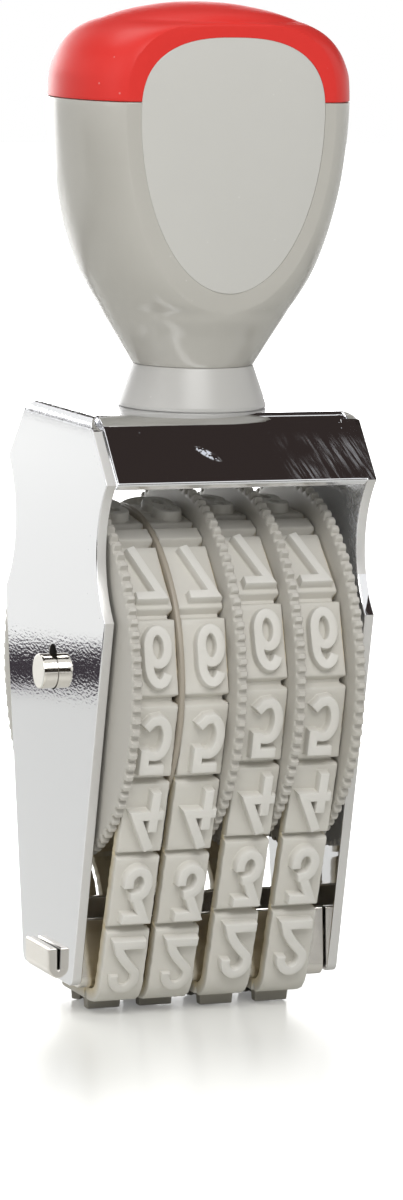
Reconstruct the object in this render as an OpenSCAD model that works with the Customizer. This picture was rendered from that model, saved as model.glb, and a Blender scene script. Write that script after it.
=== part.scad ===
// Hand numbering stamp: four printing bands on thumb wheels in a folded sheet frame,
// with a moulded handle. X runs across the bands, Y from front to back, Z up.
// The origin lies on the printing plane under the middle of the frame.

/* [Frame] */
// Outer width of the frame
frame_w = 32.5; // [32.3:0.1:34]
// Thickness of the frame sheet
sheet_t = 1.2; // [0.8:0.1:1.3]
// Height of the frame's top face above the printing plane
frame_top = 68.4; // [67:0.2:72]

/* [Wheels] */
// Height of the axle above the printing plane
axle_z = 38.5; // [38:0.1:39]
// Diameter of the axle
axle_d = 4; // [3:0.1:5]
// Radius over the teeth of a thumb wheel
wheel_r = 21.4; // [20.6:0.1:22]
// Number of teeth on a thumb wheel
teeth = 96; // [72:4:96]
// Thickness of a thumb wheel's rim
rim_t = 1.15; // [0.9:0.05:1.2]

/* [Bands] */
// Width of a printing band
band_w = 5.2; // [4.6:0.1:5.2]
// Height of the raised digits above the band
digit_h = 1.1; // [0.8:0.1:1.2]
// Length of a printed digit
digit_len = 7; // [5:0.1:7.4]
// Distance from one digit to the next along the band
cell_pitch = 9.2; // [9:0.05:9.4]

/* [Handle] */
// Height of the handle's top above the printing plane
handle_top = 114.2; // [113:0.2:116]
// Height of the joint between handle and cap
cap_z = 103.3; // [102.5:0.1:104]
// Largest half width of the handle
handle_a = 16.9; // [16:0.1:18]
// Half depth of the handle at its flat faces
handle_b = 10.9; // [10:0.1:11.5]

/* [Hidden] */
$fn = 64;
eps = 0.01;

// frame
half_w = frame_w / 2;
inner_w = half_w - sheet_t;
bend_r = 1.5;                        // outer radius of the folded corners
fold_y = 10;                         // half depth of the top plate
kink_y = 16;                         // half depth at the lower edge of the flanges
kink_z = frame_top - 7;
waist_y = 13.25;                     // narrowest point of the side plate's hollow edge
waist_z = frame_top - 14.4;
hip_y = 16.2;                        // widest point below the hollow edge
hip_z = frame_top - 22.3;
foot_y = 8;                          // half depth at the foot of the side plates
foot_z = 3.6;
slit = 0.2;                          // gap between a flange and the left plate
axle_fit = 0.04;
notch_w = 2.8;                       // assembly notch above the axle hole
notch_top = axle_z + 3.1;
screw_d = 5;

// thumb wheels, from left to right
wheel_x = [-14.6, -0.95, 6.1, 13.3]; // outer face of each rim: left face of the first, right of the others
drum_r = 16.4;
drum_wall = 1.8;
hub_r = 4.6;
tooth_h = 0.55;
run_fit = 0.06;                      // radial clearance of a wheel on the axle
separator_x = [-8.15, -7.55];
separator_r = 18.9;
band_x = [-10.8, -4.85, 2.15, 9.35];

// printing band: its pitch line runs round the drum and the nose of the anvil
pitch_r = 17.6;                      // on the drum, at the grooves between the cells
nose_r = 2.0;
nose_y = 6.45;
pitch_bottom = digit_h + 1.15;
nose_z = pitch_bottom + nose_r;
cell_h = 1.15;                       // thickness of a cell outside the pitch line
lining_t = 0.35;                     // thickness inside the pitch line
groove_w = 0.8;
groove_floor = 0.12;
span = norm([nose_y, axle_z - nose_z]);
run_angle = asin((pitch_r - nose_r) / span) - atan(nose_y / (axle_z - nose_z));
run_len = sqrt(span * span - pow(pitch_r - nose_r, 2));
nose_turn = 90 - run_angle;
nose_len = nose_r * nose_turn * PI / 180;
drum_turn = 180 + 2 * run_angle;
drum_len = pitch_r * drum_turn * PI / 180;
belt_len = 2 * (nose_y + nose_len + run_len) + drum_len;
nose_gain = 2.2;                     // the belt opens by this much round the nose
band_shift = [0.7, 0.7, 1.9, 1.9];   // how far each printed cell sits forward of the middle
digit_cells = 10;
plain_cells = 6;
stroke_w = 1.0;
plain_pitch = (belt_len - digit_cells * cell_pitch - nose_gain) / plain_cells;

// anvil
anvil_t = 0.9;
anvil_y = 7.5;
anvil_bottom = pitch_bottom + lining_t + 0.05;
anvil_r = 1.4;
anvil_top = 11;
hook_w = 7.6;
hook_out = 1.3;                      // how far the hook's tip stands off the side plate
hook_top = 7.7;

// handle
collar_r = [8.45, 6.85];
collar_h = 4.9;
body_bottom = frame_top + collar_h;
face_mid = 102;                      // height at which the flat faces are widest
face_w = 12.2;
face_down = 22.1;
face_up = 10.1;
label_w = 11;
label_down = 20;
label_up = 8.5;
label_t = 1.1;
label_fit = 0.05;
wall = 2.2;
boss_r = 5.2;
insert_r = 3.6;
insert_len = 12;
insert_z = body_bottom + 2;

function on_arc(c, r, a) = [c[0] + r * cos(a), c[1] + r * sin(a)];
function arc(c, r, a0, a1, n) = [for (i = [0:n]) on_arc(c, r, a0 + (a1 - a0) * i / n)];
function circle_through(p, q, r) =
    let (a = q - p, b = r - p, d = 2 * (a[0] * b[1] - a[1] * b[0]),
         u = (b[1] * (a * a) - a[1] * (b * b)) / d, v = (a[0] * (b * b) - b[0] * (a * a)) / d)
    [p + [u, v], norm([u, v])];

// ---- frame ----

hollow = circle_through([-kink_y, kink_z], [-waist_y, waist_z], [-hip_y, hip_z]);
hollow_a = atan2(kink_z - hollow[0][1], -kink_y - hollow[0][0]);
hollow_b = atan2(hip_z - hollow[0][1], -hip_y - hollow[0][0]);

// one edge of a side plate, from the foot up to the fold
function plate_edge() = concat(
    [[-foot_y + 1, foot_z], [-foot_y + 0.25, foot_z + 0.3], [-foot_y, foot_z + 1]],
    [[-hip_y, hip_z]],
    [for (i = [1:11]) on_arc(hollow[0], hollow[1], hollow_b + (hollow_a - hollow_b) * i / 12)],
    [[-kink_y, kink_z], [-fold_y, frame_top]]);

function mirrored(pts) = [for (i = [len(pts) - 1:-1:0]) [-pts[i][0], pts[i][1]]];

// turns a flat outline in Y and Z into a plate from x0 to x1
module across(x0, x1) {
    translate([x0, 0, 0]) rotate([90, 0, 90]) linear_extrude(height = x1 - x0) children();
}

module side_outline() { polygon(concat(plate_edge(), mirrored(plate_edge()))); }

module folded_section() {
    difference() {
        union() {
            translate([-half_w, 0]) square([frame_w, frame_top - bend_r]);
            translate([-half_w + bend_r, 0]) square([frame_w - 2 * bend_r, frame_top]);
            for (s = [-1, 1]) translate([s * (half_w - bend_r), frame_top - bend_r]) circle(bend_r);
        }
        translate([-inner_w, -1]) square([2 * inner_w, frame_top - sheet_t + 1]);
    }
}

module flange() {
    slope = norm([kink_y - fold_y, frame_top - kink_z]);
    down = [-(kink_y - fold_y), kink_z - frame_top] / slope;
    inward = [-down[1], down[0]] * sheet_t;
    start = [-fold_y, frame_top];
    finish = start + down * slope;
    difference() {
        across(-inner_w + slit, half_w)
            polygon([start, finish, finish + inward, start + inward, start + [2, 0]]);
        translate([half_w, -fold_y - 1.2, frame_top]) rotate([0, 16, 0])
            translate([-2.4, -1, 0]) cube([4, 6, 2]);
    }
}

module frame() {
    color([0.88, 0.89, 0.91]) difference() {
        union() {
            intersection() {
                translate([0, 20, 0]) rotate([90, 0, 0]) linear_extrude(height = 40) folded_section();
                across(-half_w - 1, half_w + 1) side_outline();
            }
            flange();
            mirror([0, 1, 0]) flange();
        }
        translate([-half_w - 1, 0, axle_z]) rotate([0, 90, 0])
            cylinder(d = axle_d + 2 * axle_fit, h = frame_w + 2);
        for (x = [-half_w - 1, inner_w - 1]) {
            translate([x, -notch_w / 2, axle_z]) cube([sheet_t + 2, notch_w, notch_top - axle_z - notch_w / 2]);
            translate([x, 0, notch_top - notch_w / 2]) rotate([0, 90, 0]) cylinder(d = notch_w, h = sheet_t + 2);
        }
        translate([0, 0, frame_top - sheet_t - 1]) cylinder(d = screw_d + 0.2, h = sheet_t + 2);
    }
}

// ---- anvil ----

module channel_outline() {
    r = anvil_r;
    base = anvil_bottom;
    outer = concat([[-anvil_y + 0.3, anvil_top]],
        arc([-anvil_y + r, base + r], r, 180, 270, 6), arc([anvil_y - r, base + r], r, 270, 360, 6),
        [[anvil_y - 0.3, anvil_top]]);
    s = r - anvil_t;
    inner = concat([[anvil_y - 0.3 - anvil_t, anvil_top]],
        arc([anvil_y - r, base + r], s, 360, 270, 4), arc([-anvil_y + r, base + r], s, 270, 180, 4),
        [[-anvil_y + 0.3 + anvil_t, anvil_top]]);
    polygon(concat(outer, inner));
}

module hook_section() {
    x0 = half_w + 0.05;
    r = 0.3;
    outer_r = r + anvil_t;
    c = [x0 - 0.15, anvil_bottom + outer_r];
    polygon(concat(
        [[inner_w - 0.4, anvil_bottom]],
        arc(c, outer_r, -90, 0, 6),
        [[half_w + hook_out, hook_top], [half_w + hook_out - anvil_t * 0.8, hook_top]],
        arc(c, r, 0, -90, 3),
        [[inner_w - 0.4, anvil_bottom + anvil_t]]));
}

module anvil() {
    color([0.80, 0.78, 0.74]) union() {
        across(-inner_w + 0.15, inner_w - 0.15) channel_outline();
        for (s = [0, 1]) mirror([s, 0, 0])
            translate([0, hook_w / 2, 0]) rotate([90, 0, 0]) linear_extrude(height = hook_w) hook_section();
    }
}

// ---- axle and what turns on it ----

axle_out = 1.75;                     // how far the axle's ends stand out of the side plates

module axle() {
    color([0.86, 0.85, 0.80]) translate([-half_w - axle_out, 0, axle_z]) rotate([0, 90, 0])
        rotate_extrude() polygon([[0, 0], [axle_d / 2 - 0.25, 0], [axle_d / 2, 0.25],
            [axle_d / 2, frame_w + 2 * axle_out - 0.25], [axle_d / 2 - 0.25, frame_w + 2 * axle_out],
            [0, frame_w + 2 * axle_out]]);
}

module ring_on_axle(x0, x1, r) {
    translate([x0, 0, axle_z]) rotate([0, 90, 0]) difference() {
        cylinder(r = r, h = x1 - x0);
        translate([0, 0, -1]) cylinder(d = axle_d + 2 * run_fit, h = x1 - x0 + 2);
    }
}

module axle_spacer() { color([0.75, 0.74, 0.70]) ring_on_axle(wheel_x[3] + 0.2, inner_w - 0.1, 3.8); }

module separator_disc() { color([0.65, 0.61, 0.55]) ring_on_axle(separator_x[0], separator_x[1], separator_r); }

// toothed outline: each tooth is a flat-topped block as long as the gap beside it
module tooth_ring() {
    step = 360 / teeth;
    polygon([for (i = [0:teeth - 1]) for (p = [[0.02, 0], [0.1, 1], [0.5, 1], [0.58, 0]])
        on_arc([0, 0], wheel_r - tooth_h * (1 - p[1]), step * (i + p[0]))]);
}

// a wheel with its rim from 0 to rim_t and its drum on the positive side
module thumb_wheel(drum_len) {
    rotate([90, 0, 90]) difference() {
        union() {
            linear_extrude(height = rim_t) tooth_ring();
            difference() {
                cylinder(r = drum_r, h = rim_t + drum_len);
                translate([0, 0, rim_t]) cylinder(r = drum_r - drum_wall, h = drum_len + 1);
            }
            cylinder(r = hub_r, h = rim_t + drum_len);
            for (i = [0:5]) rotate([0, 0, i * 60])
                translate([hub_r - 0.5, -0.6, 0]) cube([drum_r - drum_wall - hub_r + 1, 1.2, rim_t + drum_len - 0.5]);
        }
        translate([0, 0, -1]) cylinder(d = axle_d + 2 * run_fit, h = rim_t + drum_len + 2);
    }
}

drum_w = [5.25, 5.25, 5.75, 5.9];
wheel_grey = [0.80, 0.80, 0.76];

module left_wheel() {
    color(wheel_grey) translate([wheel_x[0], 0, axle_z]) thumb_wheel(drum_w[0]);
}

module right_wheel(i) {
    color(wheel_grey) translate([wheel_x[i], 0, axle_z]) mirror([1, 0, 0]) thumb_wheel(drum_w[i]);
}

// ---- printing bands ----

// point [y, z] and heading of the pitch line, at a distance s from the middle of the bottom
// going forward and up; the heading is an angle in the Y and Z plane
function belt(s) =
    s < 0 ? let (q = belt_front(-s)) [-q[0], q[1], 360 - q[2]] : belt_front(s);
function belt_front(s) =
    s <= nose_y ? [-s, pitch_bottom, 180] :
    s <= nose_y + nose_len ?
        let (a = (s - nose_y) / nose_r * 180 / PI)
        [-nose_y - nose_r * sin(a), nose_z - nose_r * cos(a), 180 - a] :
    s <= nose_y + nose_len + run_len ?
        let (a = nose_turn, d = s - nose_y - nose_len)
        [-nose_y - nose_r * sin(a) + d * cos(180 - a), nose_z - nose_r * cos(a) + d * sin(180 - a), 180 - a] :
    let (a = (s - nose_y - nose_len - run_len) / pitch_r * 180 / PI - run_angle)
        [-pitch_r * cos(a), axle_z + pitch_r * sin(a), 90 - a];
// the whole way round, for any s
function belt_at(s) = let (t = s - belt_len * floor(s / belt_len + 0.5)) belt(t);
function belt_pt(s) = let (q = belt_at(s)) [q[0], q[1]];
// outward is to the left of the heading
function out_of(h) = [-sin(h), cos(h)];
function belt_off(s, d) = let (q = belt_at(s)) [q[0], q[1]] + out_of(q[2]) * d;

// where cell k starts: the printed cells run up the front, the plain ones come down the back
function cell_start(k, shift) =
    k == 0 ? shift - cell_pitch / 2 :
    k == 1 ? shift + cell_pitch / 2 :
    k <= digit_cells ? shift + nose_gain + (k - 0.5) * cell_pitch :
    shift + nose_gain + (digit_cells - 0.5) * cell_pitch + (k - digit_cells) * plain_pitch;
cells = digit_cells + plain_cells;

function bends(k, shift) = let (a = belt_at(cell_start(k, shift)), b = belt_at(cell_start(k + 1, shift)))
    a[1] < nose_z + 8 && b[1] < nose_z + 12 && abs(a[2] - b[2]) > 20;

// outer outline of one cell: a flat plate between two grooves, or a bent one round a nose
function cell_outline(k, shift) =
    let (s0 = cell_start(k, shift), s1 = cell_start(k + 1, shift), g = groove_w / 2,
         p = belt_pt(s0), q = belt_pt(s1), d = (q - p) / norm(q - p), n = [-d[1], d[0]])
    bends(k, shift) ?
        concat([belt_off(s0 + 0.1, groove_floor)],
               [for (i = [0:10]) belt_off(s0 + g + (s1 - s0 - 2 * g) * i / 10, cell_h)],
               [belt_off(s1 - 0.1, groove_floor)]) :
        [p + d * 0.1 + n * groove_floor, p + d * g + n * cell_h, q - d * g + n * cell_h,
         q - d * 0.1 + n * groove_floor];

function lining() = concat(
    [for (i = [0:1]) belt_off(-nose_y + 2 * nose_y * i, -lining_t)],
    [for (i = [1:6]) belt_off(nose_y + nose_len * i / 6, -lining_t)],
    arc([0, axle_z], drum_r + 0.3, 180 + run_angle, -run_angle, 48),
    [for (i = [0:5]) belt_off(-nose_y - nose_len * (6 - i) / 6, -lining_t)]);

// the middle lines of the digits' strokes, 6 high about their middle
function bow(cx, cy, rx, ry, a0, a1, n) =
    [for (i = [0:n]) let (a = a0 + (a1 - a0) * i / n) [cx + rx * cos(a), cy + ry * sin(a)]];
strokes = [
    [bow(0, 0, 1.4, 3, 0, 360, 18)],
    [[[-1.2, 2], [-0.1, 3.05]], [[0.1, -3.2], [0.1, 3.5]], [[-1.4, -3], [1.6, -3]]],
    [concat(bow(0, 1.6, 1.35, 1.4, 170, -30, 8), [[-1, -3], [1.8, -3]])],
    [[[-1.6, 3], [0.9, 3], [-0.25, 0.95]], bow(-0.1, -1.15, 1.5, 1.85, 100, -150, 9)],
    [[[0.5, -3.5], [0.5, 3.5]], [[0.3, 3.2], [-1, -1.2], [1.85, -1.2]]],
    [[[1.5, 3], [-1.2, 3], [-1.3, 0.45]], bow(-0.1, -1.1, 1.5, 1.9, 125, -150, 10)],
    [bow(0, -1.4, 1.35, 1.6, 0, 360, 16), bow(0.35, 0, 1.7, 3, 178, 60, 8)],
    [[[-1.7, 3], [1.2, 3], [-0.5, -3.5]]],
    [bow(0, 1.6, 1.15, 1.4, 0, 360, 14), bow(0, -1.35, 1.35, 1.65, 0, 360, 16)],
    [bow(0, 1.4, 1.35, 1.6, 0, 360, 16), bow(-0.35, 0, 1.7, 3, -2, -120, 8)]];

function closed(pts) = norm(pts[0] - pts[len(pts) - 1]) < 0.01;

// from point i of a stroke to its mitred edge, for a half width of 1
function to_edge(pts, i) =
    let (n = len(pts),
         a = i > 0 ? pts[i] - pts[i - 1] : closed(pts) ? pts[0] - pts[n - 2] : pts[1] - pts[0],
         b = i < n - 1 ? pts[i + 1] - pts[i] : closed(pts) ? pts[1] - pts[0] : a,
         u = a / norm(a), v = b / norm(b), m = (u + v) / norm(u + v))
    [-m[1], m[0]] / (u * m);
function edge(pts, d) = [for (i = [0:len(pts) - 1]) pts[i] + to_edge(pts, i) * d];
function reversed(pts) = [for (i = [len(pts) - 1:-1:0]) pts[i]];
function without_last(pts) = [for (i = [0:len(pts) - 2]) pts[i]];

module stroke(pts, w) {
    if (closed(pts)) difference() {
        polygon(without_last(edge(pts, -w / 2)));
        polygon(without_last(edge(pts, w / 2)));
    } else polygon(concat(edge(pts, w / 2), reversed(edge(pts, -w / 2))));
}

// a raised digit standing on the XY plane, its top towards +Y
module digit(k) {
    stretch = (digit_len - stroke_w) / 6;
    linear_extrude(height = digit_h + 0.4) for (line = strokes[k])
        stroke([for (p = line) [p[0], p[1] * stretch]], stroke_w);
}

// puts a child on the face of cell k; the digit's top points back down the belt
module on_cell(k, shift) {
    s0 = k == 1 ? cell_start(2, shift) - cell_pitch : cell_start(k, shift);
    s1 = cell_start(k + 1, shift);
    p = belt_pt(s0);
    q = belt_pt(s1);
    d = (q - p) / norm(q - p);
    c = (p + q) / 2 + [-d[1], d[0]] * (cell_h - 0.4);
    translate([0, c[0], c[1]]) rotate([atan2(d[1], d[0]), 0, 0]) mirror([0, 1, 0]) children();
}

module band(i) {
    shift = band_shift[i];
    color([0.84, 0.83, 0.80]) translate([band_x[i], 0, 0]) union() {
        across(-band_w / 2, band_w / 2) difference() {
            polygon([for (k = [0:cells - 1]) each cell_outline(k, shift)]);
            polygon(lining());
        }
        for (k = [0:digit_cells - 1]) on_cell(k, shift) digit((k + 1) % 10);
    }
}

// ---- handle ----

module collar() {
    color([0.80, 0.80, 0.78]) translate([0, 0, frame_top]) rotate_extrude()
        polygon([[screw_d / 2 + 0.3, 0], [collar_r[0], 0], [collar_r[0] - 0.05, 0.3],
                 [collar_r[1], collar_h], [screw_d / 2 + 0.3, collar_h]]);
}

// half width and half depth of the handle at a height, as smooth curves through a few stations
stations = [[73.3, 6.85, 6.85], [76.6, 8.9, 8.6], [79.9, 10.9, 10.5], [84.5, 13.3, handle_b],
            [90.5, 15.2, handle_b], [95.5, 16.2, handle_b], [103.3, handle_a, handle_b],
            [105.8, handle_a - 0.1, handle_b], [107.7, 16.2, handle_b], [109.4, 15.2, handle_b],
            [110.7, 13.9, handle_b], [111.7, 12.2, handle_b], [112.9, 8.9, handle_b * 0.86],
            [113.7, 5.4, handle_b * 0.55], [114.15, 2.0, handle_b * 0.22]];

function flat_w(z) =
    z < face_mid - face_down || z > face_mid + face_up ? 0 :
    z < face_mid ? face_w * sqrt(1 - pow((face_mid - z) / face_down, 2)) :
    face_w * pow(1 - pow((z - face_mid) / face_up, 3), 1 / 3);

// one level of the handle, shrunk inwards by d: a flat front, rounded sides, and the same behind
function level(st, d, n) =
    let (f = max(0, min(flat_w(st[0]), st[1] - 2.5) - d), a = max(st[1] - d, 0.3), b = max(st[2] - d, 0.3))
    [for (i = [0:4 * n - 1]) let (quarter = floor(i / n), t = (i % n) / (n - 1) * 90,
        x = f + (a - f) * sin(t), y = b * cos(t))
        quarter == 0 ? [x, -y, st[0]] :
        quarter == 1 ? [f + (a - f) * cos(t), b * sin(t), st[0]] :
        quarter == 2 ? [-x, y, st[0]] : [-f - (a - f) * cos(t), -b * sin(t), st[0]]];

module handle_form(d) {
    n = 9;
    ring = 4 * n;
    list = [for (st = stations) if (st[0] < handle_top - d * 1.2) st];
    pts = [for (st = list) each level(st, d, n)];
    tops = len(list);
    polyhedron(points = pts, faces = concat(
        [[for (i = [0:ring - 1]) i]],
        [for (j = [0:tops - 2]) for (i = [0:ring - 1]) let (k = (i + 1) % ring)
            each [[j * ring + i, (j + 1) * ring + i, j * ring + k],
                  [j * ring + k, (j + 1) * ring + i, (j + 1) * ring + k]]],
        [[for (i = [ring - 1:-1:0]) (tops - 1) * ring + i]]));
}

// outline of the shield-shaped label, grown by g
function shield(g) = concat(
    [for (i = [0:24]) let (a = 180 + 180 * i / 24)
        [(label_w + g) * cos(a), face_mid + (label_down + g) * sin(a)]],
    [for (i = [1:23]) let (a = 180 * i / 24, c = cos(a), s = sin(a))
        [(label_w + g) * sign(c) * pow(abs(c), 0.77), face_mid + (label_up + g) * pow(s, 0.77)]]);

module shield_block(g, y0, y1) {
    translate([0, y1, 0]) rotate([90, 0, 0]) linear_extrude(height = y1 - y0) polygon(shield(g));
}

module both_recesses() {
    for (s = [0, 1]) mirror([0, s, 0]) shield_block(label_fit, -handle_b - 1, -handle_b + label_t + 0.05);
}

module handle_body() {
    color([0.74, 0.74, 0.71]) difference() {
        union() {
            difference() {
                intersection() {
                    handle_form(0);
                    translate([-25, -25, 0]) cube([50, 50, cap_z - 0.05]);
                }
                intersection() {
                    handle_form(wall);
                    translate([-25, -25, body_bottom + 8]) cube([50, 50, 60]);
                }
            }
            translate([0, 0, body_bottom + 6]) cylinder(r = boss_r, h = insert_len);
        }
        both_recesses();
        translate([0, 0, body_bottom - 1]) cylinder(d = screw_d + 0.6, h = 30);
        translate([0, 0, insert_z]) cylinder(r = insert_r + 0.02, h = insert_len + 6);
    }
}

module handle_cap() {
    color([0.90, 0.20, 0.17]) difference() {
        intersection() {
            handle_form(0);
            translate([-25, -25, cap_z + 0.05]) cube([50, 50, 60]);
        }
        intersection() {
            handle_form(wall);
            translate([-25, -25, cap_z - 5]) cube([50, 50, 60]);
        }
        both_recesses();
    }
}

module label_plate() { shield_block(0, -handle_b, -handle_b + label_t); }

module front_label_plate() { color([0.77, 0.77, 0.74]) label_plate(); }

module rear_label_plate() { color([0.77, 0.77, 0.74]) mirror([0, 1, 0]) label_plate(); }

module threaded_insert() {
    color([0.80, 0.66, 0.34]) translate([0, 0, insert_z]) difference() {
        cylinder(r = insert_r, h = insert_len);
        translate([0, 0, -1]) cylinder(d = screw_d + 0.04, h = insert_len + 2);
    }
}

washer_t = 1.2;
washer_r = 4.5;
head_h = 3;
head_r = 4.1;

module spring_washer() {
    color([0.70, 0.70, 0.70]) translate([0, 0, frame_top - sheet_t - washer_t]) difference() {
        cylinder(r = washer_r, h = washer_t);
        translate([0, 0, -1]) cylinder(d = screw_d + 0.3, h = washer_t + 2);
    }
}

module handle_screw() {
    top = frame_top - sheet_t - washer_t;
    color([0.72, 0.72, 0.72]) difference() {
        union() {
            translate([0, 0, top - head_h]) cylinder(r = head_r, h = head_h);
            cylinder_up(top - eps, insert_z + insert_len - 2);
        }
        translate([0, 0, top - head_h - 1]) cylinder(r = 2.3, h = 2.6, $fn = 6);
    }
}

module cylinder_up(z0, z1) { translate([0, 0, z0]) cylinder(d = screw_d, h = z1 - z0); }

frame();
anvil();
axle();
axle_spacer();
left_wheel();  // wheel_1
right_wheel(1);  // wheel_2
right_wheel(2);  // wheel_3
right_wheel(3);  // wheel_4
separator_disc();
band(0);  // band_1
band(1);  // band_2
band(2);  // band_3
band(3);  // band_4
collar();
handle_body();
handle_cap();
front_label_plate();
rear_label_plate();
threaded_insert();
handle_screw();
spring_washer();
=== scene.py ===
import math

import bmesh
import bpy
import numpy as np
from mathutils import Matrix, Vector


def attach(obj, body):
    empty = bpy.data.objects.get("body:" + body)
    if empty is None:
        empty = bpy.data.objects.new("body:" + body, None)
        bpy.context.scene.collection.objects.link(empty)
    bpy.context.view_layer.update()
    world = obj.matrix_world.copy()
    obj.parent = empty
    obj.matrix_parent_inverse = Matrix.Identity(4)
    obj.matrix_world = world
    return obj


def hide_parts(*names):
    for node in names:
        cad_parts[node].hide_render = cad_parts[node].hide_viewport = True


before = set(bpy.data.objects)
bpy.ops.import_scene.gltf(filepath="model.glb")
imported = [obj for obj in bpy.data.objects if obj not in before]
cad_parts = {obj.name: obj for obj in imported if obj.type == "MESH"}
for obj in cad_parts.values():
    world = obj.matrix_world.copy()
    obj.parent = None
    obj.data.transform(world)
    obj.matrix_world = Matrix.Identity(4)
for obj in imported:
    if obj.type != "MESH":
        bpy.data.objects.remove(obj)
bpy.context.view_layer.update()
mm = 0.001


camera = {"lens": 160.34, "target": (0, 0, 52.35), "distance": 609.8,
          "azimuth": 21.84, "elevation": 7.2, "roll": 1.242, "shift": (0.0109, -0.0453)}


def makeCamera(c):
    # the camera looks along azimuth and elevation at the target, from a distance, leaning by roll;
    # lengths are in millimetres and angles in degrees
    a, e, roll = (math.radians(c[k]) for k in ("azimuth", "elevation", "roll"))
    forward = Vector((math.sin(a) * math.cos(e), math.cos(a) * math.cos(e), -math.sin(e)))
    right = Vector((math.cos(a), -math.sin(a), 0))
    up = right.cross(forward)
    leanRight = right * math.cos(roll) + up * math.sin(roll)
    leanUp = up * math.cos(roll) - right * math.sin(roll)
    data = bpy.data.cameras.new("camera")
    data.lens = c["lens"]
    data.sensor_width = 36
    data.shift_x, data.shift_y = c["shift"]
    data.clip_start, data.clip_end = 0.01, 20
    obj = bpy.data.objects.new("camera", data)
    bpy.context.scene.collection.objects.link(obj)
    spot = (Vector(c["target"]) - forward * c["distance"]) * mm
    turn = Matrix((leanRight, leanUp, -forward)).transposed().to_4x4()
    obj.matrix_world = Matrix.Translation(spot) @ turn
    bpy.context.scene.camera = obj


makeCamera(camera)


class Wire:
    # one value in a material: a number or a node's output, with Python's operators as Math nodes
    def __init__(self, tree, socket):
        self.tree, self.socket = tree, socket

    def node(self, kind, settings=None, **inputs):
        # any node: its settings first, then the values or links of its sockets, by name or as i0, i1, i2
        n = self.tree.nodes.new(kind)
        for key, value in (settings or {}).items():
            setattr(n, key, value)
        for key, value in inputs.items():
            self.plug(n.inputs[int(key[1:]) if key[1:].isdigit() else key], value)
        return n

    def plug(self, target, value):
        # links a wire to a socket, or sets the socket to a number or a colour
        if isinstance(value, Wire):
            self.tree.links.new(value.socket, target)
        else:
            target.default_value = (*value, 1) if target.type == "RGBA" else value

    def wire(self, socket):
        return Wire(self.tree, socket)

    def maths(self, operation, *values):
        n = self.node("ShaderNodeMath", {"operation": operation},
                      **{f"i{i}": v for i, v in enumerate(values)})
        return self.wire(n.outputs[0])

    def __add__(self, other):
        return self.maths("ADD", self, other)

    def __sub__(self, other):
        return self.maths("SUBTRACT", self, other)

    def __rsub__(self, other):
        return self.maths("SUBTRACT", other, self)

    def __mul__(self, other):
        return self.maths("MULTIPLY", self, other)

    def __truediv__(self, other):
        return self.maths("DIVIDE", self, other)

    def __abs__(self):
        return self.maths("ABSOLUTE", self)

    __radd__ = __add__
    __rmul__ = __mul__

    def root(self):
        return self.maths("SQRT", self)

    def clamp(self, low=0.0, high=1.0):
        return self.maths("MINIMUM", self.maths("MAXIMUM", self, low), high)

    def step(self, low, high):
        # rises smoothly from 0 at low to 1 at high
        n = self.node("ShaderNodeMapRange", {"interpolation_type": "SMOOTHSTEP"}, i0=self, i1=low, i2=high)
        return self.wire(n.outputs["Result"])

    def mix(self, mask, a, b):
        # colour a where the mask is 0, colour b where it is 1
        n = self.node("ShaderNodeMix", {"data_type": "RGBA"}, i0=mask, i6=a, i7=b)
        return self.wire(n.outputs[2])


class Finish(Wire):
    # a material with one Principled shader, and the patterns that its maker asks for
    def __init__(self, name, colour, roughness, metallic=0.0, gloss=0.5):
        self.material = bpy.data.materials.new(name)
        self.material.use_nodes = True
        super().__init__(self.material.node_tree, None)
        self.shader = self.tree.nodes["Principled BSDF"]
        self.feed("Base Color", colour)
        self.feed("Roughness", roughness)
        self.feed("Metallic", metallic)
        self.feed("Specular IOR Level", gloss)
        self.place = self.wire(self.node("ShaderNodeTexCoord").outputs["Object"])

    def at(self, scale, turn=(0, 0, 0)):
        # the place of a pattern, turned round X, Y and Z, and then scaled
        turned = self.node("ShaderNodeMapping", Vector=self.place, Rotation=turn)
        n = self.node("ShaderNodeMapping", Vector=self.wire(turned.outputs[0]), Scale=scale)
        return self.wire(n.outputs[0])

    def axes(self):
        # X, Y and Z in millimetres
        n = self.node("ShaderNodeSeparateXYZ", Vector=self.place)
        return [self.wire(o) / mm for o in n.outputs]

    def noise(self, size, detail=2.0, roughness=0.5, where=None):
        # cloudy pattern from 0 to 1, with features about size millimetres across
        n = self.node("ShaderNodeTexNoise", Vector=where or self.place, Scale=1 / (size * mm),
                      Detail=detail, Roughness=roughness)
        return self.wire(n.outputs["Fac"])

    def specks(self, size):
        # distance to the nearest of scattered points, for dust
        n = self.node("ShaderNodeTexVoronoi", Vector=self.place, Scale=1 / (size * mm))
        return self.wire(n.outputs["Distance"])

    def attribute(self, name):
        n = self.node("ShaderNodeAttribute", {"attribute_name": name})
        return self.wire(n.outputs["Fac"])

    def feed(self, name, value):
        # what varies goes in as a wire, and what is the same all over is set on the socket
        self.plug(self.shader.inputs[name], value)

    def bump(self, *layers):
        # each layer is (height from 0 to 1, depth in millimetres); they add up
        normal = {}
        for height, depth in layers:
            n = self.node("ShaderNodeBump", Height=height, Distance=depth * mm, Strength=1.0, **normal)
            normal = {"Normal": self.wire(n.outputs["Normal"])}
        self.feed("Normal", normal["Normal"])


def gridFaces(rows, columns, closeRows, closeColumns, capEnds):
    # quads between neighbouring points of a grid, and a flat face over each open end of its rings
    i = np.arange(rows if closeRows else rows - 1)[:, None]
    j = np.arange(columns if closeColumns else columns - 1)[None, :]
    i2, j2 = (i + 1) % rows, (j + 1) % columns
    quads = np.stack([i * columns + j, i * columns + j2, i2 * columns + j2, i2 * columns + j], -1)
    faces = quads.reshape(-1, 4).tolist()
    if capEnds and not closeRows:
        faces.append(list(range(columns))[::-1])
        faces.append([(rows - 1) * columns + k for k in range(columns)])
    return faces


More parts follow.
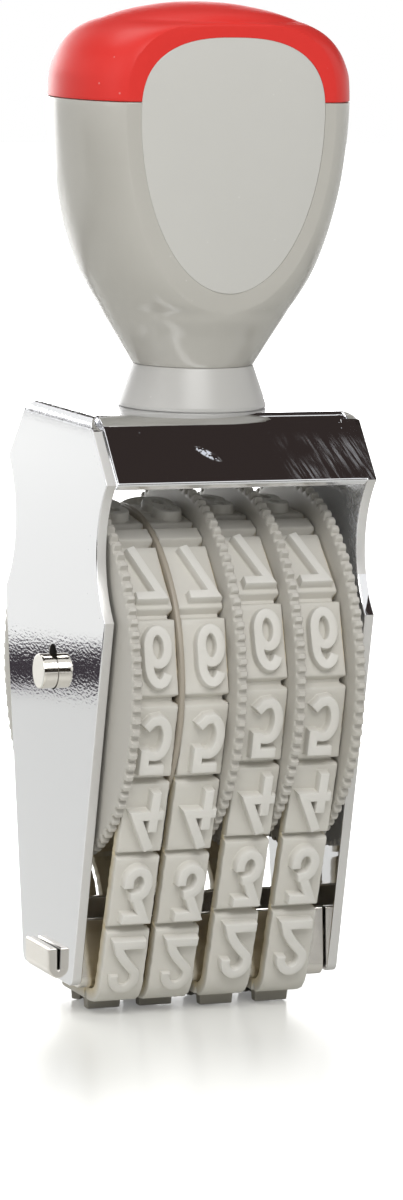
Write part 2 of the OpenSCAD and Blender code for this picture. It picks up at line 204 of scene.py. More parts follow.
def makeMesh(name, parts, smoothAngle=35):
    # parts are (points in millimetres, faces); faces end up pointing outwards
    points, faces, start = [], [], 0
    for p, f in parts:
        flat = np.asarray(p, float).reshape(-1, 3)
        points.append(flat * mm)
        faces += [[k + start for k in face] for face in f]
        start += len(flat)
    mesh = bpy.data.meshes.new(name)
    mesh.from_pydata(np.concatenate(points).tolist(), [], faces)
    shape = bmesh.new()
    shape.from_mesh(mesh)
    bmesh.ops.remove_doubles(shape, verts=shape.verts, dist=1e-7)
    bmesh.ops.dissolve_degenerate(shape, edges=shape.edges, dist=1e-7)
    bmesh.ops.recalc_face_normals(shape, faces=shape.faces)
    shape.to_mesh(mesh)
    shape.free()
    obj = bpy.data.objects.new(name, mesh)
    bpy.context.scene.collection.objects.link(obj)
    shade(obj, smoothAngle)
    return obj


def shade(obj, angle):
    # smooth faces, with sharp edges where they meet at more than the angle
    mesh = obj.data
    mesh.polygons.foreach_set("use_smooth", np.ones(len(mesh.polygons), bool))
    mesh.set_sharp_from_angle(angle=math.radians(angle))


def ringGrid(points, closeRows=False):
    # a tube from a grid of rings: closed round each ring, capped where it ends
    points = np.asarray(points, float)
    rows, columns = points.shape[:2]
    return points.reshape(-1, 3), gridFaces(rows, columns, closeRows, True, True)


def combine(obj, tools, operation, smoothAngle=35):
    # joins or cuts with closed meshes, and leaves the result as the object's own mesh
    group = bpy.data.collections.new(obj.name + "Tools")
    for tool in tools:
        group.objects.link(tool)
    change = obj.modifiers.new("change", "BOOLEAN")
    change.operation = operation
    change.solver = "MANIFOLD"
    change.operand_type = "COLLECTION"
    change.collection = group
    bpy.context.view_layer.update()
    result = obj.evaluated_get(bpy.context.evaluated_depsgraph_get())
    mesh = bpy.data.meshes.new_from_object(result)
    obj.modifiers.clear()
    obj.data = mesh
    for tool in tools:
        bpy.data.objects.remove(tool)
    bpy.data.collections.remove(group)
    shade(obj, smoothAngle)


def evenNormals(obj):
    # keeps flat faces flat beside their rounded edges
    change = obj.modifiers.new("even normals", "WEIGHTED_NORMAL")
    change.keep_sharp = True
    change.weight = 100


def lathe(profile, count, axis, middle=(0, 0, 0), wobble=None):
    # turns a closed outline of (along, radius) round an axis; where there is a wobble, each point of the
    # outline has a third number, its share of what the wobble adds to the radius at each angle
    profile = np.asarray(profile, float)
    turn = np.linspace(0, 2 * np.pi, count, endpoint=False)[:, None]
    along = profile[None, :, 0] + 0 * turn
    radius = profile[None, :, 1] + 0 * turn
    if wobble is not None:
        radius = radius + wobble(turn) * profile[None, :, 2]
    a, b = radius * np.cos(turn), radius * np.sin(turn)
    order = {"x": (along, a, b), "z": (a, b, along)}[axis]
    points = np.stack(order, -1) + np.asarray(middle, float)
    rows, columns = points.shape[:2]
    return points.reshape(-1, 3), gridFaces(rows, columns, True, True, False)


def bow(cx, cy, rx, ry, start, end, count):
    # an arc of an ellipse, between two angles in degrees
    turn = np.radians(np.linspace(start, end, count + 1))
    return np.stack([cx + rx * np.cos(turn), cy + ry * np.sin(turn)], 1)


def rounded(corners, radii, steps):
    # a closed outline with each corner replaced by an arc of its radius, or left sharp at radius 0
    corners = np.asarray(corners, float)
    out = []
    for p, before, after, radius in zip(corners, np.roll(corners, 1, 0), np.roll(corners, -1, 0), radii):
        if radius == 0:
            out.append(p[None])
            continue
        u, v = before - p, after - p
        u, v = u / np.linalg.norm(u), v / np.linalg.norm(v)
        half = math.acos(u @ v) / 2
        reach = radius / math.tan(half)
        middle = p + (u + v) / np.linalg.norm(u + v) * radius / math.sin(half)
        first, last = p + u * reach - middle, p + v * reach - middle
        start = math.atan2(first[1], first[0])
        sweep = (math.atan2(last[1], last[0]) - start + math.pi) % (2 * math.pi) - math.pi
        turn = start + sweep * np.linspace(0, 1, steps + 1)
        out.append(middle + radius * np.stack([np.cos(turn), np.sin(turn)], 1))
    return np.concatenate(out)


def prism(outline, low, high, axis, edge=0.0):
    # an outline carried along an axis, its two end faces rounded off by edge
    outline = np.asarray(outline, float)
    before, after = np.roll(outline, 1, 0), np.roll(outline, -1, 0)
    u = outline - before
    v = after - outline
    u /= np.linalg.norm(u, axis=1)[:, None]
    v /= np.linalg.norm(v, axis=1)[:, None]
    mitre = (u + v) / np.linalg.norm(u + v, axis=1)[:, None]
    inward = np.stack([-mitre[:, 1], mitre[:, 0]], 1) / np.maximum((u * mitre).sum(1), 0.3)[:, None]
    area = (outline[:, 0] * after[:, 1] - after[:, 0] * outline[:, 1]).sum()
    inward = inward * np.sign(area)
    turn = np.linspace(0, np.pi / 2, 4 if edge else 1)
    inset = edge * (1 - np.sin(turn))
    depth = edge * (1 - np.cos(turn))
    levels = np.concatenate([low + depth, (high - depth)[::-1]])
    insets = np.concatenate([inset, inset[::-1]])
    flat = outline[None] + inward[None] * insets[:, None, None]
    along = np.broadcast_to(levels[:, None], flat.shape[:2])
    order = {"x": (along, flat[..., 0], flat[..., 1]), "y": (flat[..., 0], along, flat[..., 1]),
             "z": (flat[..., 0], flat[..., 1], along)}[axis]
    return ringGrid(np.stack(order, -1))


def place(obj, body, node, finish):
    # the piece rides on a body, stands for a node and takes a finish
    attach(obj, body)
    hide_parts(node)
    coat(obj, finish)


def coat(obj, finish):
    obj.data.materials.clear()
    obj.data.materials.append(finish)


# one of these colours is a grey painted along the bends as a dotted reflection line
plating = {"chrome": (0.84, 0.845, 0.86), "cutEdge": (0.66, 0.65, 0.63), "paintedBendReflection": (0.38, 0.38, 0.40),
           # a near black is painted on the walls of the axle's hole and slot as shade
           "marks": (0.72, 0.76, 0.86), "paintedHoleShade": (0.03, 0.027, 0.03), "peelDepth": 0.0052,
           "bendPeel": 4.5, "scratch": 0.24, "smudge": 0.9, "dust": 0.5, "scratchLean": (-49.4, 0, -18.7),
           "smudgeSpot": (-3.3, 64.4)}


def flangeMarks(f, c, fold):
    # hairline scratches, a smudge and specks of dust on the front flange
    x, y, z = f.axes()
    lines = f.noise(0.30, 2, 0.6, f.at((1, 0.06, 1), [math.radians(v) for v in c["scratchLean"]]))
    patch = x.step(4.5, 8.5) * z.step(66.6, 64.8) * f.noise(3.5).step(0.36, 0.60)
    scratch = lines.step(0.44, 0.68) * patch
    # the smudge is an ellipse that leans on the sloping flange
    right, down = x - c["smudgeSpot"][0], (c["smudgeSpot"][1] - z) * 1.3
    along, over = right * 0.51 + down * 0.36, down * 1.8 - right * 1.25
    smudge = (along * along + over * over).step(1.3, 0.5) * f.noise(0.5, 2, 0.6).step(0.46, 0.56)
    dust = f.specks(1.2).step(0.075, 0.045) * f.noise(2.2, 1).step(0.50, 0.58)
    marks = scratch * c["scratch"] + smudge * c["smudge"] + dust * c["dust"]
    return (y.step(-fold, -fold - 0.6) * marks).clamp()


def chromeFinish(c, folded):
    # all places are taken from the folded sheet: its half width, inner face, top and flanges
    f = Finish("chromeSheet", c["chrome"], 0.07, 1.0)
    x, y, z = f.axes()
    half, top, fold = folded["halfWidth"], folded["top"], folded["fold"]
    inner, across = half - folded["thickness"], abs(x)
    cut = f.attribute("cut")
    marks = flangeMarks(f, c, fold)
    # orange peel, strongest on the bends and across the plates at the height of the axle
    peel = f.noise(0.30, 1, 0.5, f.at((1, 0.42, 1)))
    bends = z.step(top - 2.8, top - 1.6) * across.step(half - 2.45, half - 1.75)
    worn = (bends * c["bendPeel"] + z.step(32, 37) * z.step(46, 41)).clamp(0, c["bendPeel"])
    # the plating is thin and dull inside the folded sheet, which is a sheet's thickness under the flange
    run, drop = folded["kink"][0] - fold, top - folded["kink"][1]
    depth = ((abs(y) - fold) * drop + (z - top) * run) / math.hypot(run, drop)
    inside = across.step(inner + 0.21, inner + 0.05) * depth.step(-0.5, -0.9) * z.step(46, 54)
    inside = inside * z.step(top - 0.5, top - 0.9)
    # a painted reflection: a dotted grey line along the outside of the bends
    line = z.step(top - 1.4, top - 1.15) * z.step(top - 0.75, top - 1)
    line = line * across.step(half - 0.76, half - 0.57)
    paintedBendReflection = line * f.noise(0.3, 1).step(0.40, 0.55) * 0.75
    # painted shade, near black, on the walls of the axle's hole and slot
    wall = across.step(half - 0.05, half - 0.11) * across.step(inner, inner + 0.07)
    paintedHoleShade = wall * abs(y).step(2.83, 2.45) * z.step(36, 36.2) * z.step(42.2, 42) * 0.94
    # the painted dotted reflection line goes into the plating's colour here
    colour = f.mix(marks, f.mix(paintedBendReflection, c["chrome"], c["paintedBendReflection"]), c["marks"])
    # over it all, the painted shade on the walls of the hole and slot
    f.feed("Base Color", f.mix(paintedHoleShade, f.mix(cut, colour, c["cutEdge"]), c["paintedHoleShade"]))
    f.feed("Metallic", (1 - 0.8 * marks * (1 - cut) - 0.6 * cut - 0.25 * inside).clamp())
    rough = 0.025 + 0.025 * f.noise(2.5, 3) + 0.008 * worn + 0.35 * cut + 0.3 * marks + 0.1 * inside
    f.feed("Roughness", rough.clamp())
    f.bump((f.noise(7, 1), 0.004), (peel * (0.12 + worn), c["peelDepth"]),
           (f.noise(0.16, 2, 0.6) * cut, 0.012))
    return f.material


def nickelFinish():
    # rolled plate, its fine lines running along X
    f = Finish("nickelPlate", (0.82, 0.79, 0.74), 0.2, 1.0)
    rolled = f.noise(0.28, 3, 0.6, f.at((0.15, 1, 1)))
    f.feed("Roughness", 0.12 + 0.12 * f.noise(1.2, 3) + 0.08 * rolled)
    f.feed("Base Color", f.mix(rolled * f.noise(2.5, 2), (0.84, 0.81, 0.76), (0.70, 0.66, 0.60)))
    f.bump((rolled, 0.003))
    return f.material


def steelFinish():
    f = Finish("axleSteel", (0.83, 0.79, 0.72), 0.10, 1.0)
    ring = f.noise(0.12, 2, 0.5, f.at((0.1, 1, 1)))
    end = abs(f.axes()[0]).step(17.9, 17.94)  # 1 on the turned end faces
    f.feed("Base Color", f.mix(end, (0.80, 0.76, 0.69), (0.90, 0.88, 0.83)))
    f.feed("Roughness", 0.05 + 0.10 * ring + 0.4 * end)
    f.bump((ring, 0.0012), (f.noise(0.25, 3) * end, 0.02))
    return f.material


def rubberFinish():
    # pale rubber, lighter on the digits' faces than on the belt, tan on the cut sides
    f = Finish("bandRubber", (0.66, 0.64, 0.59), 0.6)
    cloud = f.noise(3.0, 4, 0.6)
    fine = f.noise(0.18)
    colour = f.mix(f.attribute("relief"), (0.60, 0.58, 0.53), (0.68, 0.665, 0.625))
    colour = f.mix(cloud * 0.35, colour, (0.55, 0.53, 0.47))
    # painted shade on the feet that stand on the table, darkest at the bottom
    colour = f.mix(f.axes()[2].step(1.7, 0.9) * 0.7, colour, (0.20, 0.18, 0.14))
    tan = f.mix(cloud.step(0.45, 0.6), (0.62, 0.54, 0.37), (0.50, 0.42, 0.27))
    f.feed("Base Color", f.mix(f.attribute("side"), colour, tan))
    f.feed("Roughness", 0.52 + 0.2 * cloud)
    f.bump((fine, 0.006), (cloud, 0.03))
    return f.material


def plasticFinish(name, colour, roughness, shade, grain=0.001, gloss=0.5):
    # satin plastic: a faint cloud of the darker shade, a fine grain, and a little dust
    f = Finish(name, colour, roughness, gloss=gloss)
    cloud = f.noise(5.0, 3, 0.55)
    fine = f.noise(0.15)
    dust = f.specks(1.6).step(0.09, 0.05) * f.noise(4.0, 1).step(0.55, 0.7)
    mixed = f.mix(cloud * 0.5, colour, shade)
    f.feed("Base Color", f.mix(dust * 0.2, mixed, (0.8, 0.8, 0.78)))
    f.feed("Roughness", roughness - 0.05 + 0.1 * cloud)
    f.bump((fine, grain), (cloud, 0.006))
    return f.material


def brassFinish():
    f = Finish("brassInsert", (0.70, 0.52, 0.22), 0.28, 1.0)
    f.feed("Roughness", 0.22 + 0.2 * f.noise(0.4, 2, 0.5, f.at((1, 1, 6))))
    return f.material


def zincFinish():
    f = Finish("zincScrew", (0.58, 0.59, 0.60), 0.3, 1.0)
    f.feed("Roughness", 0.25 + 0.2 * f.noise(0.5, 3))
    f.bump((f.noise(0.2, 2), 0.004))
    return f.material


axle = {"height": 38.5, "radius": 2.0, "halfLength": 18.0, "chamfer": 0.16}
bush = {"from": 13.5, "to": 14.95, "radius": 3.8, "bore": 2.06, "edges": (0.1, 0.2, 0.2, 0.1), "steps": 3,
        "count": 64}
disc = {"from": -8.15, "to": -7.55, "radius": 18.9, "bore": 2.06, "edges": (0, 0.2, 0.2, 0), "steps": 4,
        "count": 160}


def makeAxle(c):
    # half an outline, from the middle of the end face over its chamfer, then the same at the other end
    r, h, k = c["radius"], c["halfLength"], c["chamfer"]
    half = [(h, 0), (h, r - 1.5 * k), (h, r - 1.2 * k), (h - 0.3 * k, r - 0.4 * k), (h - 1.2 * k, r),
            (h - 2 * k, r)]
    profile = [(-a, b) for a, b in half] + half[::-1]
    obj = makeMesh("axlePin", [lathe(profile, 64, "x", (0, 0, c["height"]))])
    evenNormals(obj)
    return obj


def makeAxleRing(name, c):
    # a rectangle with rounded corners, turned round the axle
    low, high, radius, bore = c["from"], c["to"], c["radius"], c["bore"]
    profile = rounded([(low, bore), (low, radius), (high, radius), (high, bore)], c["edges"], c["steps"])
    return makeMesh(name, [lathe(profile, c["count"], "x", (0, 0, axle["height"]))], 40)


sheet = {"halfWidth": 16.25, "thickness": 1.2, "top": 68.4, "bend": 1.5, "edge": 0.17,
         "fold": 10.0, "kink": (16.0, 61.4), "waist": (13.25, 54.0), "hip": (16.2, 46.1),
         "foot": (8.0, 3.6), "footRadius": 0.9, "drawIn": 1.3, "slit": 0.2, "foldRadius": 4.0,
         "lap": 4.0, "cornerLap": 2.4, "axleHole": 2.13, "slot": 2.8, "slotTop": 41.6, "screwHole": 2.6,
         "wedgeSpan": (10.2, 14.0)}


def circleThrough(p, q, r):
    # centre and radius of the circle through three points
    a, b = np.subtract(q, p), np.subtract(r, p)
    d = 2 * (a[0] * b[1] - a[1] * b[0])
    u = np.array([b[1] * (a @ a) - a[1] * (b @ b), a[0] * (b @ b) - b[0] * (a @ a)]) / d
    return np.add(p, u), np.linalg.norm(u)


def plateHalfWidth(z, c):
    # straight from foot to hip, a hollow arc from hip to kink, straight from kink to fold; the foot's
    # corner is a quarter circle
    middle, radius = circleThrough(c["kink"], c["waist"], c["hip"])
    line = np.interp(z, [c["foot"][1], c["hip"][1], c["kink"][1], c["top"]],
                     [c["foot"][0], c["hip"][0], c["kink"][0], c["fold"]])
    arc = middle[0] - np.sqrt(np.maximum(radius ** 2 - (z - middle[1]) ** 2, 0))
    hollow = (z > c["hip"][1]) & (z < c["kink"][1])
    corner = np.clip((c["foot"][1] + c["footRadius"] - z) / c["footRadius"], 0, 1)
    return np.where(hollow, arc, line) - c["footRadius"] * (1 - np.sqrt(1 - corner ** 2))


def foldedPlates(c):
    # a flat strip of changing width carried up the left side, over the top and down the right side
    half, t, r, top = c["halfWidth"], c["thickness"], c["bend"], c["top"]
    foot, e = c["foot"][1], c["edge"]
    z = np.unique(np.concatenate([foot + e * (1 - np.cos(np.linspace(0, np.pi / 2, 4))),
                                  foot + np.linspace(0.2, 1, 8), np.linspace(foot + 1, c["hip"][1], 10),
                                  np.linspace(c["hip"][1], c["kink"][1], 40),
                                  np.linspace(c["kink"][1], top - r, 6)]))
    turn = np.linspace(0, np.pi / 2, 10)[1:]
    side = np.stack([np.full_like(z, -half), z], 1)
    bend = np.stack([-half + r - r * np.cos(turn), top - r + r * np.sin(turn)], 1)
    left = np.concatenate([side, bend])
    normal = np.concatenate([np.tile([-1.0, 0.0], (len(z), 1)), np.stack([-np.cos(turn), np.sin(turn)], 1)])
    width = np.concatenate([plateHalfWidth(z, c), plateHalfWidth(bend[:, 1], c)])
    # over the bend the strip draws in with the square of the way
    width[len(z):] -= c["drawIn"] * np.linspace(0, 1, len(turn)) ** 2
    slim = np.concatenate([np.clip((z - foot) / e, 0, 1), np.ones(len(turn))])
    inset = e * (1 - np.sqrt(1 - (1 - slim) ** 2))
    left, normal, width, inset = (np.concatenate([a, a[::-1]]) for a in (left, normal, width, inset))
    left[len(left) // 2:, 0] *= -1
    normal[len(normal) // 2:, 0] *= -1
    # the strip's section: a flat rectangle with rounded edges
    corner = np.linspace(0, np.pi / 2, 4)
    lift = np.concatenate([e * (1 - np.cos(corner)), t - e * (1 - np.cos(corner[::-1]))])
    back = np.concatenate([e * (1 - np.sin(corner)), e * (1 - np.sin(corner[::-1]))])
    y = width[:, None] - back[None]
    depth = np.clip(lift[None], inset[:, None], t - inset[:, None])
    ring = np.concatenate([y, -y[:, ::-1]], 1)
    depth = np.concatenate([depth, depth[:, ::-1]], 1)
    points = np.stack([left[:, None, 0] - normal[:, None, 0] * depth, ring,
                       left[:, None, 1] - normal[:, None, 1] * depth], -1)
    return ringGrid(points)


def hoodProfile(c, whole):
    # section through a flange and the edge of the top plate, or through the flange alone
    fold, top, t, lap = c["fold"], c["top"], c["thickness"], c["fold"] - c["lap"]
    start, lip = np.array([fold, top]), np.array(c["kink"])
    down = (lip - start) / np.linalg.norm(lip - start)
    inward = np.array([down[1], -down[0]]) * t
    if whole:
        inner = start + inward + down * (top - t - (start + inward)[1]) / down[1]
        corners = [(lap, top), start, lip, lip + inward, inner, (lap, top - t)]
        return rounded(corners, [0, c["foldRadius"], 0.3, 0.35, 0.4, 0], 6)
    start = start + down * 0.9
    return rounded([start, lip, lip + inward, start + inward], [0, 0.3, 0.35, 0], 6)


def keyhole(c):
    # a round hole with a narrower round-topped slot above it
    r, s = c["axleHole"], c["slot"] / 2
    meet = math.atan2(math.sqrt(r * r - s * s), s)
    lower = bow(0, axle["height"], r, r, math.degrees(meet), -180 - math.degrees(meet), 39)
    upper = bow(0, c["slotTop"] - s, s, s, 180, 0, 15)
    return np.concatenate([lower, upper])[::-1]


def boreTool(name, steps):
    # a round cutter or boss on the Z axis: each step is a height and the radius up to the next height
    profile = [(steps[0][0], 0)]
    for (low, radius), (high, _) in zip(steps[:-1], steps[1:]):
        profile += [(low, radius), (high, radius)]
    return makeMesh(name, [lathe(profile + [(steps[-1][0], 0)], 48, "z")])


def makeFrameSheet(c):
    # the folded strip, a flange with its own end at front and back, and then the holes
    body = makeMesh("frameSheet", [foldedPlates(c)])
    half, top = c["halfWidth"], c["top"]
    start = c["thickness"] + c["slit"] - half
    hoods, wedges = [], []
    reach = half - c["cornerLap"]
    wedge = [(reach, top + 0.15), (half + 0.5, top - 1.05), (half + 0.5, top + 1), (reach, top + 1)]
    for flip in (-1, 1):
        whole, alone = (hoodProfile(c, part) * (flip, 1) for part in (True, False))
        hoods.append(makeMesh("hood", [prism(whole, start, half - c["bend"], "x", 0.12)]))
        hoods.append(makeMesh("hoodEnd", [prism(alone, reach, half, "x", 0.14)]))
        wedges.append(makeMesh("wedge", [prism(wedge, *sorted(flip * v for v in c["wedgeSpan"]), "y")]))
    combine(body, hoods, "UNION")
    slot = makeMesh("slot", [prism(keyhole(c), -half - 1, half + 1, "x")])
    hole = boreTool("hole", [(top - 3, c["screwHole"]), (top + 1, 0)])
    combine(body, [slot, hole] + wedges, "DIFFERENCE")
    markCuts(body, c)
    evenNormals(body)
    return body


def readPoints(obj):
    # the mesh's points in millimetres
    flat = np.zeros(len(obj.data.vertices) * 3, np.float32)
    obj.data.vertices.foreach_get("co", flat)
    return flat.reshape(-1, 3) / mm


def writeAttribute(obj, name, values):
    # one number for each point, which a finish reads by its name
    obj.data.attributes.new(name, "FLOAT", "POINT").data.foreach_set("value", values.astype(np.float32))


def markCuts(obj, c):
    # cut is 1 on the sheared edges of the side plates, 0.25 under the lips and 0 on the plated faces
    count = len(obj.data.polygons)
    middle, normal = np.zeros(count * 3, np.float32), np.zeros(count * 3, np.float32)
    obj.data.polygons.foreach_get("center", middle)
    obj.data.polygons.foreach_get("normal", normal)
    x, y, z = (middle.reshape(-1, 3) / mm).T
    nx, _, nz = normal.reshape(-1, 3).T
    plate = (np.abs(x) > c["halfWidth"] - c["thickness"]) & (np.abs(nx) < 0.5) & (z < c["top"] - c["bend"])
    plate &= (x < 0) | (nz < 0.3)
    lip = (np.abs(x) < 15) & (np.abs(y) > 14.9) & (nz < -0.55)
    cut = np.maximum(plate, 0.25 * lip)
    obj.data.attributes.new("cut", "FLOAT", "FACE").data.foreach_set("value", cut.astype(np.float32))


anvil = {"bottom": 3.05, "thickness": 0.9, "halfDepth": 7.5, "lean": 0.75, "radius": 1.4, "top": 11.0,
         "halfLength": 14.9, "hookHalf": 3.8, "hookStart": 14.4, "hookOut": 17.5, "hookTip": 17.55,
         "hookTop": 7.25, "hookBottom": 3.75, "hookThick": 1.12}


def makeAnvil(c):
    # a U section with rounded bends, carried along X, and at each end a hook that steps down and turns up
    b, t, d, r, lean, top = (c[k] for k in ("bottom", "thickness", "halfDepth", "radius", "lean", "top"))
    channel = rounded([(-d + lean, top), (-d, b), (d, b), (d - lean, top), (d - lean - t, top),
                       (d - t, b + t), (-d + t, b + t), (-d + lean + t, top)],
                      [0.25, r, r, 0.25, 0.25, r - t, r - t, 0.25], 6)
    start, out, tip, tall = c["hookStart"], c["hookOut"], c["hookTip"], c["hookTop"]
    w, under = c["hookThick"], c["hookBottom"]
    hook = rounded([(start, b), (start + 0.8, b), (start + 1.6, under), (out, under), (tip, tall),
                    (tip - w, tall), (out - w, under + t), (start + 1.2, under + t), (start + 0.4, b + t),
                    (start, b + t)], [0, 0.5, 0.5, 1.3, 0.28, 0.22, 0.25, 0.2, 0.2, 0], 6)
    body = makeMesh("anvilChannel", [prism(channel, -c["halfLength"], c["halfLength"], "x", 0.12)])
    hooks = [makeMesh("hook", [prism(hook * (flip, 1), -c["hookHalf"], c["hookHalf"], "y", 0.18)])
             for flip in (-1, 1)]
    combine(body, hooks, "UNION")
    evenNormals(body)
    return body


wheel = {"rim": 1.15, "root": 20.78, "tooth": 0.62, "teeth": 96, "drum": 16.4, "wall": 1.8, "hub": 4.6,
         "bore": 2.06, "ribs": 6, "ribHalf": 0.6, "ribTurn": 0.3, "faces": (-14.6, -0.95, 6.1, 13.3),
         "drums": (5.25, 5.25, 5.75, 5.9), "phases": (0.1, 0.55, 0.85, 0.3)}


def makeWheel(c, index):
    # outline of rim, drum and hub turned round the axle; teeth add a smooth pulse to the rim's radius
    rim, root, bore, drum, hub = c["rim"], c["root"], c["bore"], c["drum"], c["hub"]
    length, inside = rim + c["drums"][index], drum - c["wall"]
    profile = [(1.8, bore, 0), (1.8, 3.9, 0), (0, 4.1, 0), (0, 6.0, 0), (0, 19.2, 0), (0, root - 0.5, 0),
               (0.02, root - 0.12, 0.1), (0.14, root, 0.8), (0.26, root, 1),
               (rim - 0.26, root, 1), (rim - 0.14, root, 0.8), (rim - 0.02, root - 0.12, 0.1),
               (rim, root - 0.5, 0), (rim, 19.2, 0), (rim, drum + 0.2, 0), (rim + 0.15, drum, 0),
               (length - 0.2, drum, 0), (length, drum - 0.2, 0), (length, inside, 0),
               (rim, inside - 0.1, 0), (rim, hub, 0), (length, hub, 0), (length, bore, 0)]
    phase = 2 * math.pi * c["phases"][index]

    def teeth(turn):
        pulse = np.clip(0.5 + 1.15 * np.cos(c["teeth"] * turn + phase), 0, 1)
        return c["tooth"] * pulse * pulse * (3 - 2 * pulse)

    parts = [lathe(profile, c["teeth"] * 12, "x", wobble=teeth)]
    # ribs like spokes between the hub and the drum's wall
    near, far, w = hub - 0.4, inside + 0.4, c["ribHalf"]
    rib, faces = prism([(near, -w), (far, -w), (far, w), (near, w)], rim - 0.1, length - 0.5, "x")
    for turn in c["ribTurn"] + 2 * math.pi * np.arange(c["ribs"]) / c["ribs"]:
        y = rib[:, 1] * math.cos(turn) - rib[:, 2] * math.sin(turn)
        z = rib[:, 1] * math.sin(turn) + rib[:, 2] * math.cos(turn)
        parts.append((np.stack([rib[:, 0], y, z], 1), faces))
    # the first wheel's drum points right, and the other three point left
    way = (1 if index == 0 else -1, 1, 1)
    parts = [(p * way + (c["faces"][index], 0, axle["height"]), f) for p, f in parts]
    return makeMesh(f"thumbWheel{index + 1}", parts, 40)


belt = {"pitchRadius": 17.6, "noseRadius": 2.0, "noseY": 6.45, "bottom": 2.65, "pitch": 9.2,
        "noseGain": 2.2, "printed": 10, "plain": 6, "cell": 1.15, "lining": 0.35, "drumLining": 0.9,
        "edge": 0.16, "relief": 1.1, "footRelief": 1.5, "blank": 3.0, "stroke": 1.03, "drift": 1.6,
        "notch": 0.42, "middles": (-10.8, -4.82, 2.2, 9.27), "widths": (5.2, 5.26, 5.34, 5.34),
        "aside": (0.05, 0.4, 0.3, 0.05), "shifts": (0.25, 0.25, 1.65, 1.65)}


def beltSizes(c):
    # lean of the straight run from upright, length of the nose's arc, length of the run, length all round
    rise = axle["height"] - c["bottom"] - c["noseRadius"]
    span = math.hypot(c["noseY"], rise)
    lean = math.asin((c["pitchRadius"] - c["noseRadius"]) / span) - math.atan(c["noseY"] / rise)
    run = math.sqrt(span ** 2 - (c["pitchRadius"] - c["noseRadius"]) ** 2)
    nose = c["noseRadius"] * (math.pi / 2 - lean)
    drum = c["pitchRadius"] * (math.pi + 2 * lean)
    return lean, nose, run, 2 * (c["noseY"] + nose + run) + drum


def beltPath(s, c):
    # the pitch line at distances s from the middle of the bottom: flat, round the nose, straight up to the
    # drum and round it, the back a mirror image; gives points and outward normals in Y and Z
    lean, nose, run, total = beltSizes(c)
    s = s - total * np.floor(s / total + 0.5)
    side, d = np.where(s < 0, -1.0, 1.0), np.abs(s)
    low, mid, high = c["noseY"], c["noseY"] + nose, c["noseY"] + nose + run
    bend = np.clip((d - low) / c["noseRadius"], 0, math.pi / 2 - lean)
    centre = c["bottom"] + c["noseRadius"]
    y = np.where(d < low, d, low + c["noseRadius"] * np.sin(bend))
    z = centre - c["noseRadius"] * np.cos(bend)
    up = np.clip(d - mid, 0, run)
    y, z = y + up * math.sin(lean), z + up * math.cos(lean)
    turn = (d - high) / c["pitchRadius"] - lean
    onDrum = d > high
    y = np.where(onDrum, c["pitchRadius"] * np.cos(turn), y)
    z = np.where(onDrum, axle["height"] + c["pitchRadius"] * np.sin(turn), z)
    ny = np.where(onDrum, np.cos(turn), np.sin(bend))
    nz = np.where(onDrum, np.sin(turn), -np.cos(bend))
    return np.stack([-side * y, z], -1), np.stack([-side * ny, nz], -1)


def smoothed(t):
    # a smooth step from 0 to 1: three times the square less twice the cube
    t = np.clip(t, 0, 1)
    return t * t * (3 - 2 * t)


def cellStarts(c, shift):
    # distances of the hinges: the cell under the anvil, the other printed cells, and the plain ones behind
    total = beltSizes(c)[3]
    printed = shift + c["noseGain"] + (np.arange(2, c["printed"] + 1) - 0.5) * c["pitch"]
    # a short blank cell follows the seven
    printed = np.concatenate([printed[:6], printed[5:] + c["blank"]])
    plainPitch = (total - c["printed"] * c["pitch"] - c["blank"] - c["noseGain"]) / c["plain"]
    plain = printed[-1] + plainPitch * np.arange(1, c["plain"] + 1)
    return np.concatenate([[shift - c["pitch"] / 2, shift + c["pitch"] / 2], printed, plain])


def cellFrame(s0, s1, c):
    # the flat plate between two hinges: its first hinge, direction along and outward, and length
    ends, _ = beltPath(np.array([s0, s1]), c)
    along = ends[1] - ends[0]
    length = np.linalg.norm(along)
    along = along / length
    return ends[0], along, np.array([-along[1], along[0]]), length


